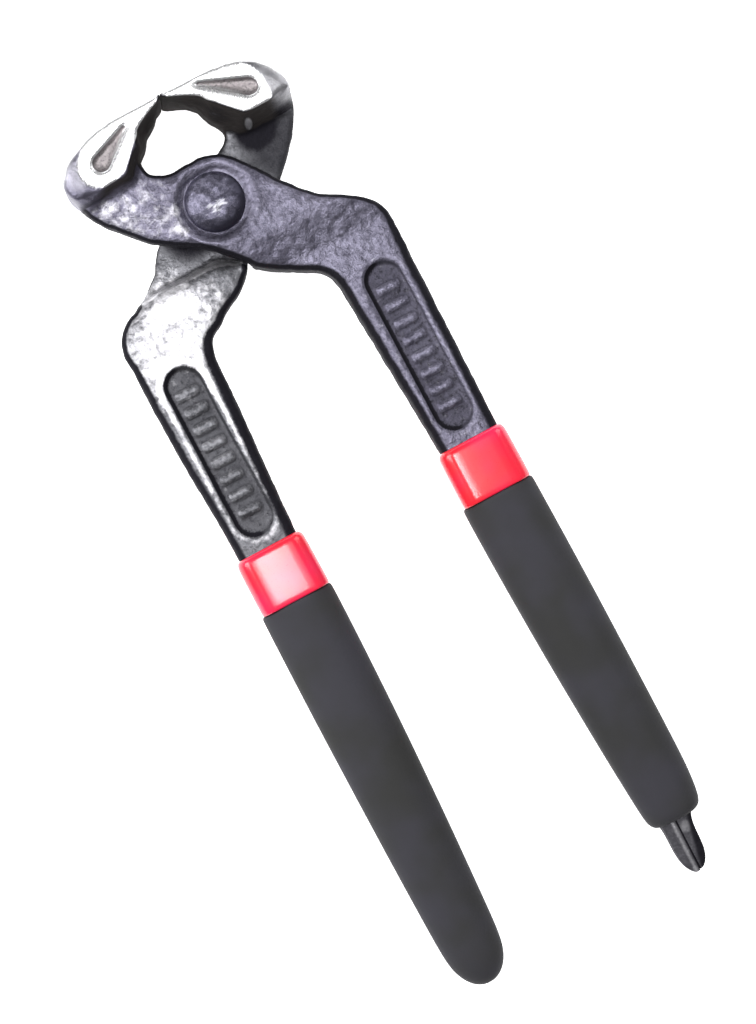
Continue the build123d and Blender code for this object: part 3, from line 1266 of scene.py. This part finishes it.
def shank_ring(y: float, spare: float) -> Ring:
    """The shank's section at a place along it, grown all round.

    Args:
        y: The place, in millimetres from the pivot.
        spare: How much the section is grown by.

    Returns:
        The grown section.
    """
    places = [-ring.y for ring in SHANK]
    inner = np.interp(-y, places, [ring.inner_x for ring in SHANK])
    outer = np.interp(-y, places, [ring.outer_x for ring in SHANK])
    thick = np.interp(-y, places, [ring.thickness for ring in SHANK])
    return Ring(y, float(inner) - spare, float(outer) + spare, float(thick) + 2 * spare)


@dataclass
class Collar:
    """The red collar above a grip. Sizes in millimetres."""

    side: Side
    finish: SleevePlastic
    corner: float = 0.28
    rings: tuple = (
        Ring(COLLAR_START, 18.0, 30.8, 9.6), Ring(-69.55, 17.4, 31.4, 10.6),
        Ring(-69.9, 16.85, 31.9, 11.5), Ring(-70.6, 16.5, 32.2, 12.05),
        Ring(-71.6, 16.4, 32.3, 12.2), Ring(-77.0, 16.35, 32.35, 12.3),
        Ring(-82.0, 16.3, 32.4, 12.4), Ring(-82.35, 16.4, 32.3, 12.2),
        Ring(COLLAR_END, 16.7, 32.0, 11.6))
    bore_places: tuple = (COLLAR_END, -76.0, COLLAR_START)

    def build(self) -> bpy.types.Object:
        """Makes the collar and dresses it.

        Returns:
            The finished piece.
        """
        name = f"{self.side.body}_collar_shell"
        piece = RingSolid(self.side, name, self.finish, self.rings, self.bore_places,
                          self.corner, through=True, levels=1).draw()
        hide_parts(f"{self.side.body}_collar")
        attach(piece, self.side.body)
        return piece


@dataclass
class Grip:
    """The long black sleeve, with an open or a closed end. Sizes in millimetres."""

    side: Side
    finish: SleevePlastic
    corner: float = 0.42
    body_rings: tuple = (
        Ring(COLLAR_END, 16.9, 32.0, 11.4), Ring(-82.6, 16.4, 32.5, 12.3),
        Ring(-83.0, 16.15, 32.75, 12.75), Ring(-84.2, 16.1, 32.8, 12.8),
        Ring(-95.0, 16.25, 32.95, 13.0), Ring(-108.0, 16.6, 33.1, 13.2),
        Ring(-120.0, 17.0, 33.1, 13.05), Ring(-132.0, 17.6, 33.1, 12.75),
        Ring(-144.0, 18.2, 33.05, 12.3), Ring(-154.0, 18.85, 32.95, 11.8))
    open_end: tuple = (
        Ring(-159.5, 19.25, 32.3, 11.4), Ring(-161.2, 19.6, 31.8, 11.0),
        Ring(-162.1, 20.2, 31.1, 10.0), Ring(SLEEVE_END, 21.0, 30.0, 8.2))
    closed_end: tuple = (
        Ring(-162.0, 19.3, 32.85, 11.4), Ring(-167.0, 19.8, 32.6, 10.9),
        Ring(-169.6, 20.5, 31.9, 10.2), Ring(-171.6, 21.5, 30.9, 9.0),
        Ring(-173.2, 22.9, 29.6, 7.0), Ring(-174.1, 24.5, 28.0, 4.2),
        Ring(-174.3, 25.4, 27.1, 1.9))
    bore_places: tuple = (COLLAR_END, -120.0, -150.0, SLEEVE_END)

    def build(self) -> bpy.types.Object:
        """Makes the sleeve from its end up to the collar and dresses it.

        Returns:
            The finished piece.
        """
        is_open = self.side is Side.FRONT
        end = self.open_end if is_open else self.closed_end
        name = f"{self.side.body}_grip_sleeve"
        piece = RingSolid(self.side, name, self.finish, (self.body_rings + end)[::-1],
                          self.bore_places, self.corner, through=is_open, levels=2).draw()
        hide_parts(f"{self.side.body}_grip")
        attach(piece, self.side.body)
        return piece


# -------- studio


@dataclass(frozen=True)
class Softbox:
    """A rectangular soft light. Sizes in millimetres, power in watts."""

    name: str
    place: tuple
    aim: tuple
    width: float
    height: float
    power: float

    def build(self) -> None:
        """Hangs the light and turns it to what it is aimed at."""
        data = bpy.data.lights.new(self.name, "AREA")
        data.shape = "RECTANGLE"
        data.size = self.width * MM
        data.size_y = self.height * MM
        data.energy = self.power
        lamp = bpy.data.objects.new(self.name, data)
        bpy.context.collection.objects.link(lamp)
        lamp.location = Vector(self.place) * MM
        way = (Vector(self.aim) * MM - lamp.location).normalized()
        lamp.rotation_euler = way.to_track_quat("-Z", "Y").to_euler()


@dataclass
class Studio:
    """Floor, lights and camera. Sizes in millimetres in the model's frame."""

    camera_place: Vector = Vector((-32.6, 16.2, 611.0))
    target: Vector = Vector((-0.1, 0.8, 11.0))
    camera_up: Vector = Vector((0.471, 0.882, 0.0))
    lens: float = 98.7
    floor_size: float = 10000.0
    air_light: float = 0.3
    softboxes: tuple = (
        Softbox("softbox_overhead", (-35, 65, 711), (-35, 65, 0), 90, 270, 2.1),
        Softbox("softbox_left", (-420, 220, 420), (0, 40, 0), 300, 420, 3.0),
        Softbox("softbox_right", (480, 200, 300), (0, 40, 0), 250, 400, 1.0),
        Softbox("softbox_back", (-30, 560, 150), (0, 70, 11), 600, 160, 0.7))

    def build(self) -> None:
        """Sets the whole stage."""
        self.floor()
        self.camera()
        for softbox in self.softboxes:
            softbox.build()
        world = bpy.data.worlds.new("studio_air")
        world.use_nodes = True
        air = world.node_tree.nodes["Background"]
        air.inputs["Color"].default_value = (1, 1, 1, 1)
        air.inputs["Strength"].default_value = self.air_light
        bpy.context.scene.world = world
        bpy.context.scene.view_settings.view_transform = "Standard"

    def floor(self) -> None:
        """Lays a wide flat sheet under the tool."""
        bpy.ops.object.select_all(action="DESELECT")
        bpy.ops.mesh.primitive_grid_add(x_subdivisions=8, y_subdivisions=8,
                                        size=self.floor_size * MM, location=(0, 0, 0))
        sheet = bpy.context.object
        sheet.name = "studio_floor"
        sheet.data.materials.append(PaleFloor().material())

    def camera(self) -> None:
        """Places the camera above the tool, turned so that the jaws are at the upper left."""
        data = bpy.data.cameras.new("studio_camera")
        data.lens = self.lens
        data.sensor_width = 36.0
        eye = bpy.data.objects.new("studio_camera", data)
        bpy.context.collection.objects.link(eye)
        back = (self.camera_place - self.target).normalized()
        right = self.camera_up.cross(back).normalized()
        up = back.cross(right)
        turn = Matrix((right, up, back)).transposed()
        eye.matrix_world = Matrix.Translation(self.camera_place * MM) @ turn.to_4x4()
        bpy.context.scene.camera = eye


def front_forging() -> Forging:
    """Describes the front lever with its own painted highlights and swellings.

    Returns:
        The lever, ready to be built.
    """
    return Forging(
        Side.FRONT, ForgedSteel("front_forged_steel"),
        ground_outline=FRONT_GROUND, pocket_point=(-8.2, 23.1),
        # Painted highlights, then swellings of the outline.
        highlight_patches=(Patch(-14.0, 4.0, 8.5, 0.2), Patch(-19.0, 6.5, 5.0, 0.13),
                Patch(-21.6, 9.2, 2.6, 0.22), Patch(-8.8, -2.2, 2.4, 0.2),
                Patch(-9.2, 2.4, 2.2, 0.16), Patch(-23.0, 18.0, 5.0, 0.3)),
        swells=(Patch(-25.5, 12.5, 7.0, 0.6), Patch(-25.5, 19.5, 5.0, 1.3),
                Patch(-20.0, 4.0, 7.0, 0.45), Patch(-13.5, -2.5, 6.0, 0.45),
                Patch(-1.0, 9.2, 4.5, 0.75), Patch(-9.6, 13.2, 3.2, -0.6),
                Patch(30.5, -16.0, 5.0, 0.25), Patch(17.0, -5.5, 4.0, 0.3),
                Patch(8.0, -19.0, 5.0, 0.25)),
        belly=Patch(-5.2, 19.6, 4.8, 1.8),
        rim_highlight=0.12, panel_shade=0.5, corner_light=0.8)


def rear_forging() -> Forging:
    """Describes the rear lever with its own painted highlights, painted shadows and swellings, and a
    more neutral steel.

    Returns:
        The lever, ready to be built.
    """
    steel = ForgedSteel("rear_forged_steel", skin=(0.070, 0.070, 0.078, 1.0),
                        skin_light=(0.24, 0.24, 0.26, 1.0))
    return Forging(
        Side.REAR, steel,
        ground_outline=REAR_GROUND, pocket_point=(-6.9, 23.8),
        # Painted highlights, painted shadows and a painted glint, then swellings of the outline.
        highlight_patches=(Patch(22.0, -23.0, 14.0, 0.5), Patch(17.5, -12.5, 6.0, 0.3),
                Patch(29.5, -17.0, 5.0, -0.05), Patch(9.0, -18.0, 5.0, 0.15),
                Patch(-23.0, 17.0, 6.0, 0.35), Patch(-14.2, 11.5, 1.2, 0.8)),
        shadow_patches=(Patch(-18.0, 6.0, 11.0, 0.56), Patch(-15.0, 11.0, 4.5, 0.6),
                Patch(8.0, -3.0, 7.5, 0.72)),
        glints=(Patch(-14.2, 11.5, 1.05, 0.9),),
        swells=(Patch(8.5, -20.5, 6.0, 0.9), Patch(31.0, -40.0, 16.0, 0.45),
                Patch(13.0, -25.0, 4.5, 0.5), Patch(2.5, -16.0, 4.5, 0.5),
                Patch(15.5, -4.5, 3.0, 0.5), Patch(24.5, -11.0, 4.0, -0.5),
                Patch(31.5, -18.0, 4.5, 0.45), Patch(-24.5, 16.5, 5.0, -0.25),
                Patch(-22.5, 21.0, 3.5, 0.4)),
        belly=Patch(-6.5, 18.0, 5.5, 1.8),
        rim_highlight=0.5, panel_shade=0.47, corner_light=0.85, wider_band=1.1)


def main() -> None:
    """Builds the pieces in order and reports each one."""
    logging.basicConfig(level=logging.INFO, format="%(message)s")
    Studio().build()
    claw_steel = ForgedSteel("claw_steel", skin=(0.082, 0.080, 0.092, 1.0),
                             skin_light=(0.24, 0.235, 0.262, 1.0), grit=0.4)
    red = SleevePlastic("red_collar", colour=(0.86, 0.012, 0.026, 1.0),
                        tint=(0.84, 0.016, 0.085, 1.0), roughness=0.28, coat=0.7,
                        peel_size=4.0 * MM, peel_depth=0.05 * MM, specular=0.25, dust=0.03)
    black = SleevePlastic("black_grip", colour=(0.036, 0.036, 0.036, 1.0),
                          tint=(0.044, 0.043, 0.052, 1.0), roughness=0.66, coat=0.0,
                          peel_size=1.1 * MM, peel_depth=0.06 * MM, specular=0.12, dust=0.12)
    makers = [front_forging(), rear_forging(), Claw(claw_steel), Rivet(HammeredSteel())]
    makers += [Collar(side, red) for side in Side] + [Grip(side, black) for side in Side]
    for maker in makers:
        piece = maker.build()
        piece.data.calc_loop_triangles()
        LOG.info("%s: %d triangles", piece.name, len(piece.data.loop_triangles))


if __name__ == "__main__":
    main()
